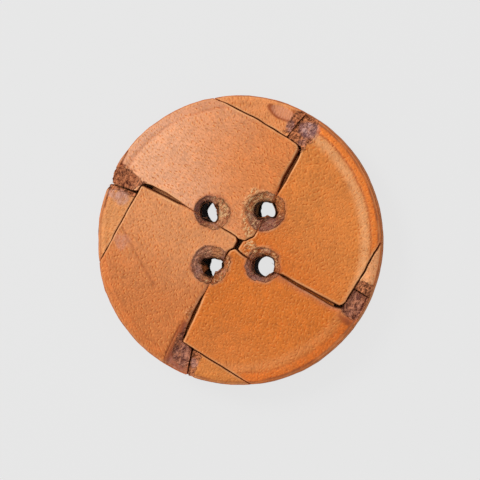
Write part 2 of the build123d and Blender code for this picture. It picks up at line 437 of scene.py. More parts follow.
class Clay:
    """A mesh's points in millimetres, to be pushed about, and the marks that its material reads."""

    def __init__(self, mesh):
        self.mesh = mesh
        count = len(mesh.vertices)
        self.points = np.empty(count * 3)
        mesh.vertices.foreach_get("co", self.points)
        self.points = self.points.reshape(-1, 3)
        edges = np.empty(len(mesh.edges) * 2, np.int32)
        mesh.edges.foreach_get("vertices", edges)
        self.edges = edges.reshape(-1, 2)
        self.neighbours = np.bincount(self.edges.ravel(), minlength=count)
        self.marks = {name: np.zeros(count) for name in MARKS}
        self.read_normals()

    def read_normals(self):
        self.mesh.vertices.foreach_set("co", self.points.ravel())
        self.mesh.update()
        normals = np.empty(len(self.mesh.vertices) * 3)
        self.mesh.vertex_normals.foreach_get("vector", normals)
        self.normals = normals.reshape(-1, 3)

    def softened(self, values, rounds):
        """Values averaged with those of the neighbouring points, several times over."""
        first, second = self.edges.T
        for _ in range(rounds):
            total = np.bincount(first, values[second], len(values))
            total += np.bincount(second, values[first], len(values))
            values = 0.5 * values + 0.5 * total / self.neighbours
        return values

    def curvature(self, rounds):
        """How far each point stands out of the form around it, in millimetres."""
        soft = np.column_stack([self.softened(self.points[:, axis], rounds) for axis in range(3)])
        return ((self.points - soft) * self.normals).sum(1)

    def radius(self):
        return np.hypot(self.points[:, 0], self.points[:, 1])

    def push(self, distances, angle):
        """Moves each point across the face by its own distance, all in one direction."""
        self.points[:, 0] += distances * cos(angle)
        self.points[:, 1] += distances * sin(angle)

    def raise_mark(self, name, values):
        self.marks[name] = np.maximum(self.marks[name], values)

    def keep_inside(self):
        """Holds every point inside the button's full thickness and radius."""
        self.points[:, 2] = np.clip(self.points[:, 2], 0, TOP_LIMIT)
        self.points[:, :2] *= np.minimum(1, RIM_LIMIT / np.maximum(self.radius(), 1))[:, None]

    def write(self):
        self.read_normals()
        for name, values in self.marks.items():
            attribute = self.mesh.attributes.new(name, "FLOAT", "POINT")
            attribute.data.foreach_set("value", np.clip(values, 0, 1).astype(np.float32))


# Forms

def placed(name, data):
    """A new object in the scene, which holds a mesh, a lamp or a camera."""
    made = bpy.data.objects.new(name, data)
    bpy.context.scene.collection.objects.link(made)
    return made


def mesh_from(form, name):
    """The form as a mesh. The form itself is freed."""
    mesh = bpy.data.meshes.new(name)
    form.to_mesh(mesh)
    form.free()
    return mesh


def remeshed(node, detail):
    """A copy of a CAD node's mesh in millimetres, with even faces of one size."""
    form = bmesh.new()
    form.from_mesh(frame["nodes"][node].data)
    bmesh.ops.remove_doubles(form, verts=form.verts, dist=MERGE_METRES)
    bmesh.ops.scale(form, vec=(MILLIMETRES,) * 3, verts=form.verts)
    mesh = mesh_from(form, node + "_plain")
    plain = placed(node + "_plain", mesh)
    remesh = plain.modifiers.new("Even faces", "REMESH")
    remesh.mode = "VOXEL"
    remesh.voxel_size = detail * MILLIMETRES
    depsgraph = bpy.context.evaluated_depsgraph_get()
    even = bpy.data.meshes.new_from_object(plain.evaluated_get(depsgraph))
    bpy.data.objects.remove(plain)
    bpy.data.meshes.remove(mesh)
    return even


def finished_piece(name, mesh, material, slot, *nodes):
    """Puts a mesh made in millimetres in its place as a piece that rides on the button."""
    mesh.transform(Matrix.Scale(METRES, 4))
    mesh.name = name
    mesh.materials.clear()
    mesh.materials.append(material)
    mesh.shade_smooth()
    piece = placed(name, mesh)
    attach(piece, "root")
    if nodes:
        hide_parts(*nodes)
    return piece


def strap_angle(order):
    return radians(WEAVE_TURN + QUARTER_TURN * order)


def strap_axes(points, order):
    """Places along and across a strap, from the weave's centre."""
    angle = strap_angle(order)
    x, y = points[:, 0] - WEAVE_CENTRE[0], points[:, 1] - WEAVE_CENTRE[1]
    return x * cos(angle) + y * sin(angle), -x * sin(angle) + y * cos(angle)


def wander_edges(clay):
    """Moves the straps a little to and fro, all alike, so that the cuts wander but stay closed."""
    radius = clay.radius()
    raised = smooth_step(clay.points[:, 2], LOWER_TOP - 0.4, LOWER_TOP + 0.2)
    raised = raised * smooth_step(radius, 13.9, 13.0)
    wander = [layered_noise(clay.points * (1, 1, 0), EDGE_WANDER_SIZE, 50 + 7 * axis) for axis in range(2)]
    along, across = strap_axes(clay.points, 0)
    bow = EDGE_BOW * bell(along, -4.5, 3.5) * smooth_step(across, 7, 10) * smooth_step(radius, 13.8, 12.8)
    clay.push(bow, strap_angle(0) + pi / 2)
    for axis in range(2):
        clay.points[:, axis] += EDGE_WANDER * wander[axis] * raised


def trim_rim(clay):
    """Draws the rim in where the real one was trimmed a little inside a full circle."""
    x, y = clay.points[:, 0], clay.points[:, 1]
    radius = np.hypot(x, y)
    angles, insets = zip(*RIM_INSETS)
    inset = np.interp(np.degrees(np.arctan2(y, x)), angles, insets)
    wear = layered_noise(clay.points, RIM_WEAR_SIZE * 2, 70) * 0.03 + 0.02
    near_rim = smooth_step(radius, 9.5, 13.6)
    scale = 1 - near_rim * (inset + np.maximum(wear, 0)) / BUTTON_RADIUS
    clay.points[:, :2] *= scale[:, None]


def press_craters(clay, top):
    """Sinks the worn craters round the holes."""
    points = clay.points
    for hole in HOLES.values():
        seed = hole["seed"]
        x, y = (points[:, :2] - hole["crater"]).T
        reach = np.hypot(x, y)
        border = hole["radius"] * (1 + 0.1 * layered_noise(points, 1.0, seed))
        inside = border - reach
        clay.raise_mark("ring", border_mark(inside) * top)
        inward = inside / (border - HOLE_RADIUS)
        share = np.clip(inward, 0, 1)
        tumble = layered_noise(points, 0.36, seed + 5)
        ridges = 0.035 * np.sin(inside * 2 * pi / 0.3 + 2 * layered_noise(points, 0.8, seed + 7))
        drop = CRATER_CLIFF * smooth_step(inward, 0, 0.14) + CRATER_SLOPE * share**1.6
        drop += (CRATER_ROUGH * tumble + ridges) * smooth_step(inward, 0, 0.25)
        brow = bell(reach - border, 0.1, 0.1) * (0.6 + lattice_noise(points, 0.9, seed + 9))
        points[:, 2] += top * (0.05 * brow - drop)
        # The crater's brow takes the lip: partly rubbed pale, partly painted highlight
        clay.raise_mark("lip", 0.75 * brow * top)
        angle = np.arctan2(y, x)
        for mark, (degrees, strength) in hole["sides"].items():
            facing = smooth_step(np.cos(angle - radians(degrees)), -0.1, 0.7)
            clay.raise_mark(mark, strength * facing * smooth_step(inside, -0.15, 0.1) * top)


def mark_bores(clay, low, high):
    for hole in HOLES.values():
        reach = distance_from(clay.points, hole["bore"])
        in_bore = smooth_step(reach, HOLE_RADIUS + 0.17, HOLE_RADIUS + 0.08)
        clay.raise_mark("bore", in_bore * smooth_step(clay.points[:, 2], low, high))


def shape_bores(clay):
    """Moves the bores' walls, and turns in flaps of torn leather."""
    for walls, burnt in ((WALLS, True), (FLAPS, False)):
        for name, degrees, half_width, distance, low, high in walls:
            hole = HOLES[name]
            from_bore = clay.points[:, :2] - hole["bore"]
            reach = np.hypot(*from_bore.T)
            angle = np.degrees(np.arctan2(from_bore[:, 1], from_bore[:, 0])) - degrees
            angle = (angle + 180) % 360 - 180
            ragged = layered_noise(clay.points, 0.42, hole["seed"] + 31)
            width = smooth_step(np.abs(angle) + 12 * ragged, half_width, half_width * 0.5)
            height = (clay.points[:, 2] - low) / (high - low)
            profile = smooth_step(height, -0.05, 0.25) * smooth_step(height, 1.25, 0.6)
            near = smooth_step(reach, HOLE_RADIUS + 0.75, HOLE_RADIUS + 0.1)
            weight = width * profile * near
            move = distance * weight * (0.85 + (0.15 if burnt else 0.45) * ragged)
            clay.points[:, :2] -= from_bore / reach[:, None] * move[:, None]
            if not burnt:
                clay.marks["bore"] *= 1 - np.clip(weight * 1.4, 0, 1)
                clay.raise_mark("ring", np.minimum(weight * 2, 1))


def press_dent(clay, top):
    local = turned(clay.points - (*DENT_CENTRE, 0), -DENT_TURN)
    reach = np.hypot(local[:, 0] / DENT_HALF_LENGTH, local[:, 1] / DENT_HALF_WIDTH)
    inside = smooth_step(reach, 1.05, 0.8)
    ridges = 0.5 + 0.5 * np.sin(local[:, 0] * 2 * pi / 0.27 + 1.5 * local[:, 1])
    clay.points[:, 2] -= top * (DENT_DEPTH * smooth_step(reach, 1.15, 0.55) - 0.03 * ridges * inside)
    # The dent mark, stronger on the ridges, carries the painted light on the dent's floor
    clay.marks["dent"] = inside * top * (0.6 + 0.4 * ridges)
    edge = smooth_step(np.abs(reach - 1.0), 0.34, 0.1)
    lower_left = smooth_step(-1.5 * local[:, 1] - 0.35 * local[:, 0], -0.3, 0.25)
    # Painted shade along the dent's lower left edge, carried by the burnt mark
    clay.raise_mark("burnt", edge * lower_left * top)


def soften_inner_edge(clay, along, across, top, edge):
    """Rounds the face down towards an inner edge that the neighbour's shoulder presses on."""
    inner = np.interp(along, *zip(*edge))
    from_edge = np.clip((across - inner) / SOFT_EDGE_WIDTH, 0, 1)
    worn = (1 - from_edge) ** 2 * smooth_step(along, edge[1][0] + 1.0, edge[1][0] - 0.5)
    clay.points[:, 2] -= top * SOFT_EDGE_DROP * worn
    clay.raise_mark("burnt", 0.3 * worn * top)
    clay.raise_mark("stain", 0.28 * worn * top)


def close_slots(clay, raised):
    """Draws the straps' edges together where the real ones touch, and returns where they do."""
    closed = np.zeros(len(clay.points))
    for order, strap in enumerate(STRAPS.values()):
        along, across = strap_axes(clay.points, order)
        places, middles, closings = zip(*strap["slot"])
        off = across - np.interp(along, places, middles)
        closing = np.interp(along, places, closings, left=0, right=0) * raised
        closing = closing * smooth_step(np.abs(off), 0.9, 0.3)
        move = np.sign(off) * np.minimum(closing, np.maximum(np.abs(off) - 0.01, 0))
        clay.push(-move, strap_angle(order) + pi / 2)
        closed = np.maximum(closed, smooth_step(closing, 0.06, 0.1))
    return closed


def fill_corner(clay, corner, raised):
    """Draws the torn leather in towards the neighbour's corner."""
    towards = np.array(corner) - clay.points[:, :2]
    distance = np.hypot(*towards.T)
    move = np.minimum(CORNER_FILL * smooth_step(distance, 1.2, 0.3), np.maximum(distance - 0.05, 0)) * raised
    clay.points[:, :2] += towards * (move / np.maximum(distance, 0.05))[:, None]


def open_tail_gap(clay, order, along, raised, gap, cap_edge):
    """Draws the tail's end back from the neighbour that it comes out from under, in a ragged line."""
    ragged = 0.7 + 0.8 * layered_noise(clay.points * (1, 1, 0), 0.9, 140 + order)
    near_cap = smooth_step(np.abs(along - cap_edge - 0.12), 0.55, 0.12)
    clay.push(gap * np.maximum(ragged, 0.1) * near_cap * raised, strap_angle(order))


def at_rim(radius):
    return smooth_step(radius, 12.9, 13.7)


def swell_face(clay, order, top, radius):
    """Swells and ripples the face, lifts its edges, and marks the cut sides and the lips above them."""
    clear_of_rim = smooth_step(radius, 13.5, 12.6)
    clay.marks["cut"] = smooth_step(np.abs(clay.normals[:, 2]), 0.75, 0.45)
    # The lip mark pales the top's edges: partly rubbed leather, partly painted highlight
    flat = clay.softened(clay.normals[:, 2], 4)
    lip = smooth_step(flat, 0.97, 0.8) * top * (0.75 + 0.5 * lattice_noise(clay.points, 1.2, 60))
    clay.marks["lip"] = lip * (0.4 + 0.6 * clear_of_rim)
    swell = FACE_SWELL * lattice_noise(clay.points, FACE_SWELL_SIZE, 5 + order) - FACE_SINK
    ripple = FACE_RIPPLE * layered_noise(clay.points, FACE_RIPPLE_SIZE, 15 + order)
    lift = LIP_RISE * smooth_step(flat, 0.99, 0.93) * clear_of_rim
    clay.points[:, 2] += top * (swell + ripple + lift)


def wear_rim(clay, line_radius, top, radius):
    """Presses a groove inside the rim, roughens the rim, and darkens a line along it."""
    groove = bell(radius, RIM_GROOVE_RADIUS, RIM_GROOVE_WIDTH)
    uneven = 0.7 + 0.5 * lattice_noise(clay.points, 2.5, 33)
    clay.points[:, 2] -= top * RIM_GROOVE_DEPTH * groove * uneven
    line = bell(radius, line_radius, 0.13) * (0.9 + 0.6 * lattice_noise(clay.points, 1.1, 34))
    clay.raise_mark("burnt", np.minimum(line, 1) * top)
    rough = np.abs(layered_noise(clay.points, RIM_WEAR_SIZE, 41))
    clay.points[:, 2] -= top * at_rim(radius) * RIM_WEAR * rough


def tear_and_stain(clay, strap, order, height, raised, top, radius):
    """Tears, scuffs, burns and stains one strap where the real one is."""
    points, marks = clay.points, clay.marks
    ragged = 0.16 * layered_noise(points, 0.6, 80)
    depth = depth_inside_any(points, strap["torn"]) + ragged
    marks["torn"] = border_mark(depth) * smooth_step(height, BACKING_TOP, LOWER_TOP)
    torn = smooth_step(depth, -0.05, 0.15)
    marks["scuff"] = smooth_step(depth_inside_any(points, strap["scuffed"]) + ragged, -0.15, 0.25) * top
    burnt = smooth_step(depth_inside_any(points, strap["burnt"]) + ragged, -0.15, 0.35)
    clay.raise_mark("burnt", burnt * top)
    for x, y, reach, strength in strap["stains"]:
        away = distance_from(points, (x, y)) + 2 * ragged
        clay.raise_mark("stain", strength * smooth_step(away, reach, reach * 0.4) * top)
    fibres = fibre_noise(points, 0.22, 3.0, WEAVE_TURN + QUARTER_TURN * order + 25, 100)
    lumps = layered_noise(points, 0.45, 110)
    points[:, 2] += top * torn * (TORN_ROUGH * (0.6 * fibres + 0.7 * lumps) - TORN_DROP)
    frayed = raised * torn * at_rim(radius) * TORN_FRAY * np.abs(lumps) / radius
    points[:, :2] -= frayed[:, None] * points[:, :2]
    points[:, 2] += top * marks["scuff"] * 0.05 * fibre_noise(points, 0.22, 2.0, 60, 120)


def press_creases(clay, creases, top):
    bent = clay.points + 0.05 * lattice_noise(clay.points, 0.6, 130)[:, None]
    for x, y, end_x, end_y, width, depth, dark in creases:
        line = bell(distance_to_line(bent, (x, y), (end_x, end_y)), 0, width)
        clay.points[:, 2] -= top * depth * line
        # The crease mark's darkness is painted shade in the crease
        clay.raise_mark("crease", dark * line * top)


def weather_strap(clay, order):
    """Gives one strap the swells, worn edges, craters, tears and creases of the real one, and marks them."""
    name = list(STRAPS)[order]
    strap = STRAPS[name]
    cap_edge = STRAPS[list(STRAPS)[(order + 1) % 4]]["outer_edge"]
    marks = clay.marks
    along, across = strap_axes(clay.points, order)
    radius = clay.radius()
    height = clay.points[:, 2].copy()
    raised = smooth_step(height, LOWER_TOP - 0.15, LOWER_TOP + 0.1)
    top = smooth_step(clay.normals[:, 2], 0.25, 0.75) * raised
    marks["tail"] = smooth_step(along, cap_edge - 0.5, cap_edge - 0.1)
    swell_face(clay, order, top, radius)
    wear_rim(clay, strap["rim_line"], top, radius)
    open_tail_gap(clay, order, along, raised, strap["tail_gap"], cap_edge)
    closed = close_slots(clay, raised)
    fill_corner(clay, strap["corner"], raised)
    marks["lip"] *= 1 - 0.8 * closed
    marks["cut"] *= 1 - 0.7 * closed
    if strap["soft_edge"]:
        soften_inner_edge(clay, along, across, top, strap["soft_edge"])
    tear_and_stain(clay, strap, order, height, raised, top, radius)
    press_creases(clay, strap["creases"], top)
    if name == "left_strap":
        press_dent(clay, top)
    press_craters(clay, top)
    mark_bores(clay, UPPER_TOP - 0.3, UPPER_TOP - 0.55)
    shape_bores(clay)
    wander_edges(clay)
    curve = finished_curve(clay)
    # Painted shade in small hollows of the face
    marks["hollow_shade"] = smooth_step(curve, -0.006, -0.03) * top
    whole = 1 - smooth_step(marks["torn"], 0.4, 0.6)
    # Where the face stands out it takes the lip: partly rubbed pale, partly painted highlight
    clay.raise_mark("lip", 0.5 * smooth_step(curve, 0.012, 0.04) * top * whole)


def finished_curve(clay):
    """Trims the shaped piece, and returns how far its points stand out."""
    trim_rim(clay)
    clay.keep_inside()
    clay.read_normals()
    return clay.curvature(4)


def weather_backing(clay):
    """Gives the backing a rough flesh side, a worn edge and holes like those of the straps."""
    points, marks = clay.points, clay.marks
    marks["cut"] = smooth_step(np.abs(clay.normals[:, 2]), 0.8, 0.45)
    swell = 0.03 * lattice_noise(points, 3.0, 200) + 0.02 * layered_noise(points, 0.7, 210)
    underside = smooth_step(points[:, 2], 0.5, 0.1)
    points[:, 2] += underside * np.maximum(swell + 0.02, 0)
    for hole in HOLES.values():
        reach = distance_from(points, hole["bore"])
        rough = layered_noise(points, 0.4, hole["seed"] + 3)
        near = smooth_step(reach, HOLE_RADIUS + 0.5, HOLE_RADIUS + 0.15)
        points[:, 2] += near * underside * (0.05 + 0.05 * rough)
        clay.raise_mark("ring", border_mark(HOLE_RADIUS + 0.35 - reach) * underside)
    mark_bores(clay, 0.05, 0.3)
    shape_bores(clay)
    curve = finished_curve(clay)
    # Lips where the backing stands out: partly rubbed pale, partly painted highlight
    marks["lip"] = smooth_step(curve, 0.01, 0.04)
    # Painted shade in small hollows of the backing
    marks["hollow_shade"] = smooth_step(curve, -0.008, -0.035)


# Materials

class Wiring:
    """Adds nodes to one node tree, and joins each to the ones that it reads as it is added."""

    def __init__(self, tree):
        self.tree = tree

    def put(self, socket, value):
        if isinstance(value, bpy.types.NodeSocket):
            self.tree.links.new(value, socket)
        elif value is not None:
            socket.default_value = value

    def add(self, kind, inputs=None, **settings):
        node = self.tree.nodes.new(kind)
        for name, value in settings.items():
            setattr(node, name, value)
        for name, value in (inputs or {}).items():
            self.put(node.inputs[name], value)
        return node

    def sum(self, operation, *values):
        """One step of arithmetic on single values."""
        return self.add("ShaderNodeMath", dict(enumerate(values)), operation=operation).outputs[0]

    def chain(self, operation, values):
        result = values[0]
        for value in values[1:]:
            result = self.sum(operation, result, value)
        return result

    def product(self, *values):
        return self.chain("MULTIPLY", values)

    def most(self, *values):
        return self.chain("MAXIMUM", values)

    def plus(self, total, value, factor):
        """The total, with the value times the factor added to it."""
        return self.sum("MULTIPLY_ADD", value, factor, total)

    def rest(self, value):
        """What the value leaves of one."""
        return self.sum("SUBTRACT", 1.0, value)

    def vector(self, operation, *values):
        """One step of arithmetic on vectors."""
        node = self.add("ShaderNodeVectorMath", dict(enumerate(values)), operation=operation)
        return node.outputs["Value" if operation == "LENGTH" else "Vector"]

    def scale(self, vector, factor):
        inputs = {"Vector": vector, "Scale": factor}
        return self.add("ShaderNodeVectorMath", inputs, operation="SCALE").outputs[0]

    def step(self, value, low, high, bottom=0.0, top=1.0):
        """A soft change from bottom to top as the value goes from low to high."""
        inputs = {"Value": value, "From Min": low, "From Max": high, "To Min": bottom, "To Max": top}
        return self.add("ShaderNodeMapRange", inputs, interpolation_type="SMOOTHSTEP").outputs["Result"]

    def band(self, value, middle, half_width):
        """1 at the middle of a band, and 0 past its sides."""
        return self.step(self.sum("ABSOLUTE", self.sum("SUBTRACT", value, middle)), half_width, 0.0)

    def mix(self, share, first, second, blend_type="MIX"):
        """Two colours mixed."""
        node = self.add("ShaderNodeMix", data_type="RGBA", blend_type=blend_type)
        self.put(node.inputs["Factor"], share)
        self.put(node.inputs["A"], first)
        self.put(node.inputs["B"], second)
        return node.outputs["Result"]

    def place(self):
        """The place on the piece, in millimetres."""
        metres = self.add("ShaderNodeTexCoord").outputs["Object"]
        inputs = {"Vector": metres, "Scale": (MILLIMETRES,) * 3}
        return self.add("ShaderNodeMapping", inputs).outputs["Vector"]

    def noise(self, place, size, detail=2.0, sharpness=0.5, output="Fac"):
        inputs = {"Vector": place, "Scale": 1 / size, "Detail": detail, "Roughness": sharpness}
        return self.add("ShaderNodeTexNoise", inputs).outputs[output]

    def drift(self, place, size, distance):
        """A place moved about by noise."""
        shift = self.vector("SUBTRACT", self.noise(place, size, 2.0, output="Color"), (0.5, 0.5, 0.5))
        return self.vector("ADD", place, self.scale(shift, distance))

    def turn(self, place, angle):
        inputs = {"Vector": place, "Angle": angle}
        return self.add("ShaderNodeVectorRotate", inputs, rotation_type="Z_AXIS").outputs[0]

    def split(self, vector):
        return self.add("ShaderNodeSeparateXYZ", {"Vector": vector}).outputs

    def group(self, tree, inputs):
        node = self.add("ShaderNodeGroup", node_tree=tree)
        for name, value in inputs.items():
            self.put(node.inputs[name], value)
        return node.outputs


def new_material(name):
    """A new material, its wiring and its shader."""
    material = bpy.data.materials.new(name)
    material.use_nodes = True
    return material, Wiring(material.node_tree), material.node_tree.nodes["Principled BSDF"]


SOCKETS = {"value": "NodeSocketFloat", "vector": "NodeSocketVector", "colour": "NodeSocketColor"}


def new_group(name, inputs, outputs):
    """An empty node group, its wiring, the sockets that feed it and the sockets that take its results."""
    tree = bpy.data.node_groups.new(name, "ShaderNodeTree")
    for sockets, in_out in ((inputs, "INPUT"), (outputs, "OUTPUT")):
        for socket, kind in sockets.items():
            tree.interface.new_socket(name=socket, in_out=in_out, socket_type=SOCKETS[kind])
    w = Wiring(tree)
    return tree, w, w.add("NodeGroupInput").outputs, w.add("NodeGroupOutput").inputs


def hair_pores():
    """Short dashes in wandering rows, as hairs leave them, for painted shade in the pores, with sides for a
    painted highlight, and streaks between.
    """
    tree, w, given, result = new_group(
        "Hair pores",
        {"Place": "vector", "Row turn": "value", "Dash turn": "value", "Spacing": "value"},
        {"Mask": "value", "Glint": "value", "Streaks": "value"},
    )
    rows = w.turn(w.drift(given["Place"], 6.0, 2.5), given["Row turn"])
    spacing = given["Spacing"]
    cell = w.add("ShaderNodeCombineXYZ", {"X": spacing, "Y": w.product(spacing, 1.2), "Z": 1.0}).outputs[0]
    grid = w.vector("DIVIDE", rows, cell)
    cells = w.add(
        "ShaderNodeTexVoronoi", {"Vector": grid, "Scale": 1.0, "Randomness": 0.7}, voronoi_dimensions="2D"
    ).outputs
    chance = w.add("ShaderNodeSeparateColor", {"Color": cells["Color"]}).outputs
    offset = w.vector("MULTIPLY", w.vector("SUBTRACT", grid, cells["Position"]), cell)
    jitter = w.plus(-0.7, chance["Red"], 1.4)
    slanted = w.turn(offset, w.sum("ADD", given["Dash turn"], jitter))
    reach = w.vector("LENGTH", w.vector("MULTIPLY", slanted, (1 / 0.15, 1 / 0.06, 0)))
    beside = w.vector("LENGTH", w.vector("MULTIPLY_ADD", slanted, (1 / 0.15, 1 / 0.07, 0), (0, 1.5, 0)))
    strength = w.product(w.step(chance["Green"], 0.08, 0.16), w.plus(0.4, chance["Blue"], 0.6))
    w.put(result["Mask"], w.product(strength, w.step(reach, 1.2, 0.5)))
    w.put(result["Glint"], w.product(strength, w.step(beside, 1.2, 0.4)))
    drawn = w.vector("MULTIPLY", w.turn(rows, given["Dash turn"]), (1.0, 3.4, 1.0))
    w.put(result["Streaks"], w.sum("SUBTRACT", w.noise(drawn, 0.28, 2.0, 0.6), 0.5))
    return tree


def fine_grain():
    """The small pebbled grain between the pores."""
    outputs = {"Height": "value", "Tone": "value"}
    tree, w, given, result = new_group("Fine grain", {"Place": "vector"}, outputs)
    pebbles = w.add(
        "ShaderNodeTexVoronoi",
        {"Vector": given["Place"], "Scale": 1 / 0.2, "Smoothness": 0.6},
        feature="SMOOTH_F1",
    ).outputs["Distance"]
    specks = w.noise(given["Place"], 0.13, 3.0, 0.6)
    w.put(result["Height"], w.sum("SUBTRACT", w.product(specks, 0.6), pebbles))
    w.put(result["Tone"], w.sum("ADD", w.sum("SUBTRACT", specks, 0.5), w.plus(0.2, pebbles, -0.5)))
    return tree


def cloudy_tone():
    """Uneven dye: broad clouds with smaller ones in them. Its values lie about zero."""
    outputs = {"Broad": "value", "Small": "value"}
    tree, w, given, result = new_group("Cloudy tone", {"Place": "vector"}, outputs)
    w.put(result["Broad"], w.sum("SUBTRACT", w.noise(given["Place"], 5.0, 2.0), 0.5))
    w.put(result["Small"], w.sum("SUBTRACT", w.noise(given["Place"], 0.9, 3.0, 0.6), 0.5))
    return tree


def torn_fibre():
    """Matted fibres where the face is torn away: a tone from dark hollows to pale fibres, and its height."""
    tree, w, given, result = new_group(
        "Torn fibre", {"Place": "vector", "Turn": "value"}, {"Tone": "value", "Height": "value"}
    )
    bent = w.drift(given["Place"], 1.1, 1.0)
    drawn = w.vector("MULTIPLY", w.turn(bent, given["Turn"]), (0.26, 1.0, 1.0))
    strands = w.noise(drawn, 0.17, 3.0, 0.7)
    lumps = w.noise(given["Place"], 0.3, 3.0, 0.65)
    tone = w.sum("ADD", w.product(strands, 0.7), w.product(lumps, 0.4))
    w.put(result["Tone"], w.step(tone, 0.44, 0.65))
    w.put(result["Height"], tone)
    return tree


def rim_tone():
    """The bevelled rim: a band of painted highlight inside the bevel's edge, the edge's line of painted shade
    in the groove, the bevel, and the painted highlight on its lip.
    """
    tree, w, given, result = new_group(
        "Rim tone", {"Place": "vector"}, {"Band": "value", "Line": "value", "Bevel": "value", "Lip": "value"}
    )
    shaky = w.drift(given["Place"], 1.6, 0.35)
    radius = w.vector("LENGTH", w.vector("MULTIPLY", shaky, (1, 1, 0)))
    w.put(result["Band"], w.band(radius, 12.2, 0.85))
    w.put(result["Line"], w.band(radius, 12.72, 0.2))
    w.put(result["Bevel"], w.step(radius, 12.65, 12.95))
    w.put(result["Lip"], w.band(radius, 13.8, 0.12))
    return tree


# How each piece's leather runs: turn of the pores' rows, turn of a dash in its row and strength of the pores,
# direction in which the face deepens from pale, partly uneven dye and partly painted light and sheen, and
# where that starts and ends, strength of the rim's band of painted highlight, of the bevel's line of painted
# shade and of the bevel's painted light and shade, how far the bevel goes from painted shade to painted
# light, and strength of the rim lip's painted highlight
LEATHER_VALUES = (
    "Row turn", "Dash turn", "Pores", "Shade turn", "Shade start", "Shade end",
    "Band", "Bevel line", "Bevel", "Bevel painted light share", "Rim lip",
)
LEATHERS = {
    "upper_strap": (-58, 108, 1.0, 5, -10.0, 4.5, 0.0, 0.4, 0.9, 0.0, 0.1),
    "right_strap": (-20, -35, 0.9, 150, -9.0, 1.0, 0.6, 0.7, 0.9, 1.0, 0.6),
    "lower_strap": (-75, 25, 0.8, -80, -13.0, -6.0, 0.15, 0.3, 0.8, 1.0, 0.45),
    "left_strap": (-20, -60, 1.0, 120, 1.0, 10.5, 0.0, 0.2, 0.4, 0.8, 0.1),
    "backing_disc": (15, 40, 0.2, 0, -14.0, 14.0, 0.0, 0.0, 0.0, 0.0, 0.0),
}
PORE_SPACING = 0.36
LEATHER_SHEEN = 0.2
FIBRE_SHEEN = 0.3
FIBRE_ROUGHNESS = 0.75

# The colours that lie in every piece's leather. Each is a setting, too.
DYES = (
    "Torn dark", "Torn light", "Stain", "Scuff", "Burnt", "Cut edge", "Rim edge", "Lip", "Bore", "Bore band",
)

# Tints that are laid over the leather, as a screen shows them. The rim's and the pores' are painted
# highlight, and the dent's is painted light
RIM_PAINTED_HIGHLIGHT = (*linear(240, 176, 122), 1)
PORE_GLINT = (*linear(255, 178, 100), 1)
DENT_PAINTED_LIGHT = (*linear(218, 146, 114), 1)
CRATER_SPECKS = (*linear(80, 32, 24), 1)
STAIN_HOLLOWS = (*linear(148, 102, 102), 1)

# Shades that multiply the leather's colour: red, green and blue. Those of the bevel, its groove, the pores,
# creases, hollows and deep cuts are painted light and shade
BEVEL_PAINTED_SHADE = (0.77, 0.74, 0.76, 1)
BEVEL_PAINTED_LIGHT = (1.32, 1.06, 0.74, 1)
GROOVE_PAINTED_SHADE = (0.72, 0.45, 0.32, 1)
WARM_CLOUDS = (1.06, 0.92, 0.76, 1)
PORE_PAINTED_SHADE = (0.75, 0.42, 0.2, 1)
CREASE_PAINTED_SHADE = (0.42, 0.2, 0.13, 1)
HOLLOW_PAINTED_SHADE = (0.45, 0.27, 0.2, 1)
CRATER_BORDER = (0.42, 0.2, 0.15, 1)
CRATER_HALO = (0.75, 0.5, 0.42, 1)
LAYER_SHADE = (0.5, 0.33, 0.25, 1)
CUT_PAINTED_SHADE = (0.02, 0.007, 0.003, 1)


